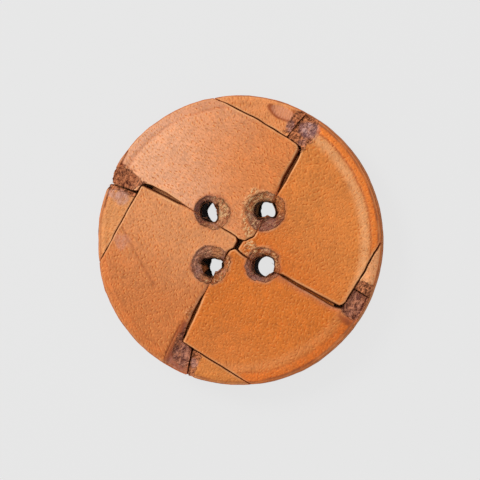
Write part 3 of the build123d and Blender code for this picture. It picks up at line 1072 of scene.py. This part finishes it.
class LeatherFace:
    """Everything that a leather piece shows, laid on one base colour in turn, as a node group."""

    def __init__(self, groups):
        inputs = {"Place": "vector"}
        inputs.update({name: "value" for name in LEATHER_VALUES})
        inputs.update({name: "colour" for name in ("Pale", "Deep", "Tail", *DYES)})
        inputs.update({"Mark " + mark: "value" for mark in MARKS})
        outputs = {"Color": "colour", "Roughness": "value", "Height": "value"}
        self.tree, self.w, self.given, result = new_group("Leather", inputs, outputs)
        w, given = self.w, self.given
        self.mark = {name: given["Mark " + name] for name in MARKS}
        self.place = given["Place"]
        turns = {name: given[name] for name in ("Place", "Row turn", "Dash turn")}
        self.pores = w.group(groups["pores"], {**turns, "Spacing": PORE_SPACING})
        self.grain = w.group(groups["grain"], {"Place": self.place})
        self.clouds = w.group(groups["clouds"], {"Place": self.place})
        self.fibre = w.group(groups["torn"], {"Place": self.place, "Turn": given["Row turn"]})
        self.rim = w.group(groups["rim"], {"Place": self.place})
        drawn = w.vector("MULTIPLY", w.turn(self.place, given["Row turn"]), (0.6, 1.0, 1.0))
        self.specks = w.noise(drawn, 0.2, 3.0, 0.7)
        self.find_borders()
        self.dye()
        self.prick_pores()
        self.wear()
        self.tear()
        self.stain()
        self.cut_sides()
        w.put(result["Color"], self.base)
        w.put(result["Roughness"], self.roughness())
        w.put(result["Height"], self.relief())

    def lay(self, share, colour):
        """Lays a colour over the base."""
        self.base = self.w.mix(share, self.base, colour)

    def shade(self, share, colour):
        """Multiplies the base by a colour."""
        self.base = self.w.mix(share, self.base, colour, "MULTIPLY")

    def find_borders(self):
        """Draws the borders of the torn areas and craters sharp and ragged."""
        w, mark = self.w, self.mark
        ragged = w.sum("SUBTRACT", w.noise(self.place, 0.3, 3.0, 0.6), 0.5)
        self.torn = w.step(w.plus(mark["torn"], ragged, 0.5), 0.46, 0.54)
        self.ring = w.plus(mark["ring"], ragged, 0.3)
        self.crater = w.step(self.ring, 0.46, 0.54)
        self.whole = w.rest(w.most(self.torn, self.crater, mark["cut"]))

    def dye(self):
        """Colours the face from pale to deep, partly uneven dye and partly painted light and sheen, with its
        rim's painted light and shade and its clouds.
        """
        w, given, rim, clouds, whole = self.w, self.given, self.rim, self.clouds, self.whole
        # Pale to deep across each strap: partly uneven dye, partly painted light and sheen
        slope = w.split(w.turn(self.place, given["Shade turn"]))["X"]
        deepness = w.step(w.plus(slope, clouds["Broad"], 9.0), given["Shade start"], given["Shade end"])
        self.base = w.mix(self.mark["tail"], w.mix(deepness, given["Pale"], given["Deep"]), given["Tail"])
        face_only = w.product(whole, w.rest(self.mark["tail"]))
        # Painted highlight on the rim, inside the bevel
        self.lay(w.product(rim["Band"], given["Band"], face_only), RIM_PAINTED_HIGHLIGHT)
        # The bevel is tinted between painted shade and painted light
        bevel = w.mix(given["Bevel painted light share"], BEVEL_PAINTED_SHADE, BEVEL_PAINTED_LIGHT)
        self.shade(w.product(rim["Bevel"], given["Bevel"], face_only), bevel)
        # Painted shade in the groove along the bevel's edge
        self.shade(w.product(rim["Line"], given["Bevel line"], face_only), GROOVE_PAINTED_SHADE)
        # Painted highlight on the rim's lip
        self.lay(w.product(rim["Lip"], given["Rim lip"], whole), given["Lip"])
        tone = w.plus(1.0, clouds["Broad"], 0.3)
        tone = w.plus(tone, clouds["Small"], 0.44)
        tone = w.plus(tone, self.grain["Tone"], 0.6)
        tone = w.plus(tone, w.product(self.pores["Streaks"], whole), 0.75)
        self.base = w.scale(self.base, tone)
        self.shade(w.product(w.step(clouds["Small"], 0.0, 0.22), 0.35), WARM_CLOUDS)

    def prick_pores(self):
        """Pores, painted shade in their pits with a painted highlight beside, which fade where the face is
        torn.
        """
        w, pores, share = self.w, self.pores, (self.whole, self.given["Pores"])
        self.pore = w.product(pores["Mask"], *share)
        # Painted shade in the pores, and painted highlight on their sides
        self.shade(w.product(self.pore, 0.85), PORE_PAINTED_SHADE)
        self.lay(w.product(pores["Glint"], *share, 0.42), PORE_GLINT)

    def wear(self):
        """Burns, scuffs, the dent's painted light, painted shade in the creases, lips rubbed pale with
        painted highlight, and painted shade in small pits.
        """
        w, given, mark, fibre = self.w, self.given, self.mark, self.fibre
        patchy = w.step(self.clouds["Small"], -0.3, 0.05, 0.5, 1.0)
        self.lay(w.product(mark["burnt"], patchy), given["Burnt"])
        nap = w.product(mark["scuff"], w.step(self.specks, 0.48, 0.6, 0.0, 0.85))
        self.lay(w.product(mark["scuff"], 0.55), w.mix(fibre["Tone"], given["Burnt"], self.base))
        self.lay(nap, given["Scuff"])
        # Painted light on the dent's floor
        self.lay(w.product(mark["dent"], 0.7), DENT_PAINTED_LIGHT)
        # Painted shade in the creases
        self.shade(w.product(mark["crease"], 0.8), CREASE_PAINTED_SHADE)
        # Lips rubbed pale, partly painted highlight
        self.lay(w.product(mark["lip"], 0.7, w.rest(self.torn)), given["Lip"])
        # Painted shade in small hollows
        self.shade(w.product(mark["hollow_shade"], 0.6), HOLLOW_PAINTED_SHADE)

    def tear(self):
        """Matted fibres in the torn areas, and mottled ones in the craters."""
        w, given, mark, small = self.w, self.given, self.mark, self.clouds["Small"]
        # Dark in the fibres' hollows and pale on their tops, following their height: partly their own colour,
        # partly painted shade and highlight
        matted = w.mix(self.fibre["Tone"], given["Torn dark"], given["Torn light"])
        matted = w.mix(w.product(mark["burnt"], 0.25), matted, given["Torn dark"])
        self.lay(self.torn, w.mix(0.12, matted, self.base))
        mottled = w.mix(0.62, matted, self.base)
        mottled = w.mix(w.step(small, 0.0, 0.14, 0.0, 0.3), mottled, given["Stain"])
        charred = w.mix(self.specks, given["Torn dark"], given["Burnt"])
        mottled = w.mix(w.product(mark["burnt"], 0.7), mottled, charred)
        # Pale flecks where the crater's specks stand high and dark ones where they sink: partly painted
        # highlight and shade
        flecks = w.plus(self.specks, mark["scuff"], 0.1)
        mottled = w.mix(w.step(flecks, 0.56, 0.68, 0.0, 0.75), mottled, given["Scuff"])
        mottled = w.mix(w.step(flecks, 0.46, 0.34, 0.0, 0.65), mottled, CRATER_SPECKS)
        self.lay(w.product(self.crater, 0.92), mottled)
        border = w.product(w.band(self.ring, 0.47, 0.14), w.step(small, 0.2, -0.1))
        self.shade(w.product(border, 0.6), CRATER_BORDER)
        self.shade(w.product(w.band(self.ring, 0.36, 0.16), 0.35, self.whole), CRATER_HALO)

    def stain(self):
        """Lilac-grey stains, darker in the hollows."""
        w = self.w
        stained = w.mix(w.step(self.fibre["Tone"], 0.1, 0.7), STAIN_HOLLOWS, self.given["Stain"])
        patchy = w.step(self.clouds["Small"], -0.25, 0.1, 0.45, 1.0)
        self.lay(w.product(self.mark["stain"], patchy), stained)

    def cut_sides(self):
        """The cut sides, the trimmed rim and the walls of the holes, with painted shade deep in the cuts and
        a painted reflection on the holes' walls.
        """
        w, given, mark = self.w, self.given, self.mark
        height = w.split(self.place)["Z"]
        radius = w.vector("LENGTH", w.vector("MULTIPLY", self.place, (1, 1, 0)))
        layers = w.noise(w.vector("MULTIPLY", self.place, (0.25, 0.25, 1.6)), 0.3, 3.0, 0.6)
        # Deep in the cuts the side goes almost black: painted shade in the narrow gaps
        cut = w.mix(w.step(height, 2.7, 1.6), given["Cut edge"], CUT_PAINTED_SHADE)
        side = w.mix(w.step(radius, 13.0, 13.4), cut, given["Rim edge"])
        side = w.mix(w.step(layers, 0.6, 0.3), side, LAYER_SHADE, "MULTIPLY")
        self.lay(w.product(mark["cut"], w.rest(self.torn)), side)
        # A grey band of painted reflection on the holes' glossy burnt walls, along the middle layer
        above = w.step(height, BACKING_TOP + 0.05, BACKING_TOP + 0.3)
        below = w.step(height, LOWER_TOP + 0.05, LOWER_TOP - 0.3)
        band = w.product(above, below, w.step(layers, 0.42, 0.62))
        self.lay(mark["bore"], w.mix(w.product(band, 0.7), given["Bore"], given["Bore band"]))

    def broken(self):
        return self.w.most(self.torn, self.crater, self.mark["scuff"])

    def roughness(self):
        w, mark = self.w, self.mark
        matt = w.most(mark["cut"], mark["bore"], self.pore, w.product(self.broken(), 0.7))
        sheen = w.plus(w.plus(0.5, self.clouds["Small"], 0.25), matt, 0.45)
        return w.plus(sheen, mark["dent"], -0.15)

    def relief(self):
        """Height of the grain, pores and fibres, in millimetres."""
        w = self.w
        relief = w.product(self.grain["Height"], 0.02)
        relief = w.plus(relief, w.product(self.pores["Streaks"], self.whole), 0.03)
        relief = w.plus(relief, self.pore, -0.01)
        relief = w.plus(relief, w.product(self.broken(), self.fibre["Height"]), 0.24)
        return w.plus(relief, w.product(self.crater, self.specks), 0.25)


def leather_material(name, node, pale, deep, tail):
    """One piece's leather: its own dye and its own run of the pores."""
    dyes = bpy.context.scene.button_leather
    material, w, shader = new_material(name)
    inputs = {"Place": w.place(), "Pale": (*pale, 1), "Deep": (*deep, 1), "Tail": (*tail, 1)}
    for socket in DYES:
        inputs[socket] = (*getattr(dyes, socket.lower().replace(" ", "_")), 1)
    for socket, value in zip(LEATHER_VALUES, LEATHERS[node]):
        inputs[socket] = radians(value) if socket.endswith("turn") else value
    for mark in MARKS:
        inputs["Mark " + mark] = w.add("ShaderNodeAttribute", attribute_name=mark).outputs["Fac"]
    made = w.group(leather_group(), inputs)
    w.put(shader.inputs["Base Color"], made["Color"])
    w.put(shader.inputs["Roughness"], made["Roughness"])
    shader.inputs["Specular IOR Level"].default_value = LEATHER_SHEEN
    bump = w.add("ShaderNodeBump", {"Height": made["Height"], "Distance": METRES, "Strength": 1.0})
    w.put(shader.inputs["Normal"], bump.outputs["Normal"])
    return material


def leather_group():
    """The leather's node group, made on first use."""
    found = bpy.data.node_groups.get("Leather")
    if found:
        return found
    return LeatherFace({
        "pores": hair_pores(),
        "grain": fine_grain(),
        "clouds": cloudy_tone(),
        "torn": torn_fibre(),
        "rim": rim_tone(),
    }).tree


class BUTTON_OT_weave_straps(bpy.types.Operator):
    """Remesh the four straps, wear and tear them as on the real button, and dye them"""

    bl_idname = "button.weave_straps"
    bl_label = "Straps"

    def execute(self, context):
        shape, dyes = context.scene.button_shape, context.scene.button_leather
        for order, name in enumerate(STRAPS):
            clay = Clay(remeshed(name, shape.strap_detail))
            weather_strap(clay, order)
            clay.write()
            shades = [getattr(dyes, name + shade) for shade in ("", "_deep", "_tail")]
            material = leather_material(name + "_leather", name, *shades)
            finished_piece(name + "_leather", clay.mesh, material, "strap_leather", name)
        return {"FINISHED"}


class BUTTON_OT_back_with_leather(bpy.types.Operator):
    """Remesh the backing and give it a rough flesh side and a trimmed edge"""

    bl_idname = "button.back_with_leather"
    bl_label = "Backing"

    def execute(self, context):
        shape, dyes = context.scene.button_shape, context.scene.button_leather
        clay = Clay(remeshed("backing_disc", shape.backing_detail))
        weather_backing(clay)
        clay.write()
        material = leather_material("backing_leather", "backing_disc", *(dyes.backing,) * 3)
        finished_piece("backing_leather", clay.mesh, material, "backing_leather", "backing_disc")
        return {"FINISHED"}


class BUTTON_OT_raise_fibres(bpy.types.Operator):
    """Lay loose fibres on the torn patches, the scuffs and the craters"""

    bl_idname = "button.raise_fibres"
    bl_label = "Loose fibres"

    def execute(self, context):
        shape, dyes = context.scene.button_shape, context.scene.button_leather
        chance = np.random.default_rng(47)
        thickness = shape.fibre_thickness * MILLIMETRES
        surfaces = strap_surfaces()
        form = bmesh.new()
        for x, y in fibre_places(chance, shape.fibre_count):
            hits = [tree.ray_cast(Vector((x, y, 5)), Vector((0, 0, -1))) for tree in surfaces]
            hits = [place for place, _, _, _ in hits if place and place.z > LOWER_TOP]
            if hits:
                add_fibre(form, max(hits, key=lambda place: place.z), chance, thickness)
        for vert in form.verts:
            vert.co.z = min(vert.co.z, TOP_LIMIT)
        material = fibre_material("loose_fibre", dyes.torn_light, dyes.torn_dark)
        finished_piece("loose_fibres", mesh_from(form, "loose_fibres"), material, "strap_leather")
        return {"FINISHED"}


def strap_surfaces():
    """The finished straps' surfaces, to find where a fibre's root is."""
    surfaces = []
    for name in STRAPS:
        form = bmesh.new()
        form.from_mesh(bpy.data.objects[name + "_leather"].data)
        bmesh.ops.scale(form, vec=(MILLIMETRES,) * 3, verts=form.verts)
        surfaces.append(BVHTree.FromBMesh(form))
        form.free()
    return surfaces


def fibre_places(chance, count):
    """Random places on the torn and scuffed areas and in the craters."""
    outlines = [outline for strap in STRAPS.values() for outline in strap["torn"] + strap["scuffed"]]
    tries = chance.uniform(-BUTTON_RADIUS, BUTTON_RADIUS, (60 * count, 2))
    on_face = np.hypot(*tries.T) < 13.5
    wanted = depth_inside_any(tries, outlines) > 0
    for hole in HOLES.values():
        reach = distance_from(tries, hole["crater"])
        wanted |= (reach < hole["radius"]) & (reach > HOLE_RADIUS)
    return tries[wanted & on_face][:count]


def add_fibre(form, root, chance, thickness):
    """One tapered, bent fibre that lies close to the leather."""
    heading = chance.uniform(0, 2 * pi)
    bend = chance.normal(0, 0.5)
    rise = chance.uniform(0.1, 0.45)
    step = chance.uniform(0.06, 0.16)
    ring = bmesh.ops.create_circle(form, segments=3, radius=thickness / 2)["verts"]
    bmesh.ops.rotate(form, verts=ring, matrix=Matrix.Rotation(pi / 2, 3, "Y"))
    bmesh.ops.rotate(form, verts=ring, matrix=Matrix.Rotation(heading, 3, "Z"))
    bmesh.ops.translate(form, verts=ring, vec=root - Vector((0, 0, thickness / 2)))
    bmesh.ops.contextual_create(form, geom=ring)
    place = root
    for part in range(1, 5):
        edges = {edge for vert in ring for edge in vert.link_edges if all(v in ring for v in edge.verts)}
        grown = bmesh.ops.extrude_edge_only(form, edges=list(edges))["geom"]
        ring = [item for item in grown if isinstance(item, bmesh.types.BMVert)]
        heading += bend
        rise -= 0.16
        move = Vector((cos(heading), sin(heading), rise)) * step
        place = place + move
        bmesh.ops.translate(form, verts=ring, vec=move)
        bmesh.ops.scale(form, verts=ring, vec=(0.82,) * 3, space=Matrix.Translation(-place))
    bmesh.ops.contextual_create(form, geom=ring)


def fibre_material(name, light, dark):
    """Pale leather fibre, darker here and there."""
    material, w, shader = new_material(name)
    tone = w.step(w.noise(w.place(), 0.5, 2.0), 0.35, 0.6)
    w.put(shader.inputs["Base Color"], w.mix(tone, (*dark, 1), (*light, 1)))
    shader.inputs["Roughness"].default_value = FIBRE_ROUGHNESS
    shader.inputs["Specular IOR Level"].default_value = FIBRE_SHEEN
    return material


# Stage

# The view is centred a little to the right of the button's own centre
AIM = Vector((0.12, 0.0, 1.7)) * METRES
PICTURE_SIDE = 480
BUTTON_IN_PICTURE = 291
SENSOR = 36.0
KEY_PLACE_METRES = Vector((-0.17, 0.14, 0.19))
KEY_SIZE_METRES = 0.12
FLOOR_HALF_METRES = 0.6
FLOOR_GLOW = 0.93
FLOOR_ROUGHNESS = 0.9


def set_camera(stage):
    back = Vector((tan(stage.camera_right), tan(stage.camera_up), 1)).normalized()
    across = Vector((0, 1, 0)).cross(back).normalized()
    upward = back.cross(across)
    lens = bpy.data.cameras.new("camera")
    field = 2 * BUTTON_RADIUS * METRES * PICTURE_SIDE / BUTTON_IN_PICTURE
    lens.sensor_width = SENSOR
    lens.lens = SENSOR * stage.camera_distance / field
    lens.clip_start = 0.01
    camera = placed("camera", lens)
    turn = Matrix((across, upward, back)).transposed().to_4x4()
    camera.matrix_world = Matrix.Translation(AIM + back * stage.camera_distance) @ turn
    bpy.context.scene.camera = camera


def set_lights(stage):
    key = bpy.data.lights.new("key", "AREA")
    key.shape, key.size = "DISK", KEY_SIZE_METRES
    key.energy = stage.key_power
    lamp = placed("key", key)
    lamp.location = KEY_PLACE_METRES
    lamp.rotation_euler = (-KEY_PLACE_METRES).to_track_quat("-Z", "Y").to_euler()
    world = bpy.data.worlds.new("studio")
    world.use_nodes = True
    sky = world.node_tree.nodes["Background"]
    sky.inputs["Color"].default_value = (1, 1, 1, 1)
    sky.inputs["Strength"].default_value = stage.sky
    bpy.context.scene.world = world


def set_floor(stage):
    form = bmesh.new()
    bmesh.ops.create_grid(form, x_segments=1, y_segments=1, size=FLOOR_HALF_METRES)
    mesh = mesh_from(form, "floor")
    mesh.materials.append(floor_material(stage))
    placed("floor", mesh)


class BUTTON_OT_set_stage(bpy.types.Operator):
    """Set the camera, the pale floor and the soft studio light"""

    bl_idname = "button.set_stage"
    bl_label = "Stage"

    def execute(self, context):
        stage = context.scene.button_stage
        set_camera(stage)
        set_lights(stage)
        set_floor(stage)
        context.scene.view_settings.view_transform = "Standard"
        return {"FINISHED"}


def floor_material(stage):
    """A pale floor that a camera sees at the backdrop's colour, with the button's soft shadow on it."""
    material, w, shader = new_material("floor")
    shader.inputs["Base Color"].default_value = (*stage.floor, 1)
    shader.inputs["Roughness"].default_value = FLOOR_ROUGHNESS
    glow = w.add("ShaderNodeEmission", {"Color": (*stage.backdrop, 1), "Strength": 1.0})
    rays = w.add("ShaderNodeLightPath").outputs
    seen = w.most(rays["Is Camera Ray"], rays["Is Glossy Ray"], rays["Is Transmission Ray"])
    mixed = w.add("ShaderNodeMixShader")
    w.put(mixed.inputs[0], w.product(seen, FLOOR_GLOW))
    w.put(mixed.inputs[1], shader.outputs[0])
    w.put(mixed.inputs[2], glow.outputs[0])
    w.put(material.node_tree.nodes["Material Output"].inputs["Surface"], mixed.outputs[0])
    return material


class BUTTON_PT_make(bpy.types.Panel):
    """Lists the steps that make the button"""

    bl_label = "Woven leather button"
    bl_idname = "BUTTON_PT_make"
    bl_space_type = "VIEW_3D"
    bl_region_type = "UI"
    bl_category = "Button"

    def draw(self, context):
        layout = self.layout
        for step in STEPS:
            layout.operator(step.bl_idname)
        for group in SETTINGS:
            settings = getattr(context.scene, group)
            box = layout.box()
            for name in settings.bl_rna.properties.keys():
                if name not in ("name", "rna_type"):
                    box.prop(settings, name)


STEPS = (BUTTON_OT_set_stage, BUTTON_OT_back_with_leather, BUTTON_OT_weave_straps, BUTTON_OT_raise_fibres)
SETTINGS = {"button_leather": LeatherSettings, "button_shape": ShapeSettings, "button_stage": StageSettings}


def register():
    for made in (*SETTINGS.values(), *STEPS, BUTTON_PT_make):
        bpy.utils.register_class(made)
    for name, settings in SETTINGS.items():
        setattr(bpy.types.Scene, name, PointerProperty(type=settings))


def unregister():
    for name in SETTINGS:
        delattr(bpy.types.Scene, name)
    for made in reversed((*SETTINGS.values(), *STEPS, BUTTON_PT_make)):
        bpy.utils.unregister_class(made)


def main():
    register()
    bpy.ops.button.set_stage()
    bpy.ops.button.back_with_leather()
    bpy.ops.button.weave_straps()
    bpy.ops.button.raise_fibres()


if __name__ == "__main__":
    main()
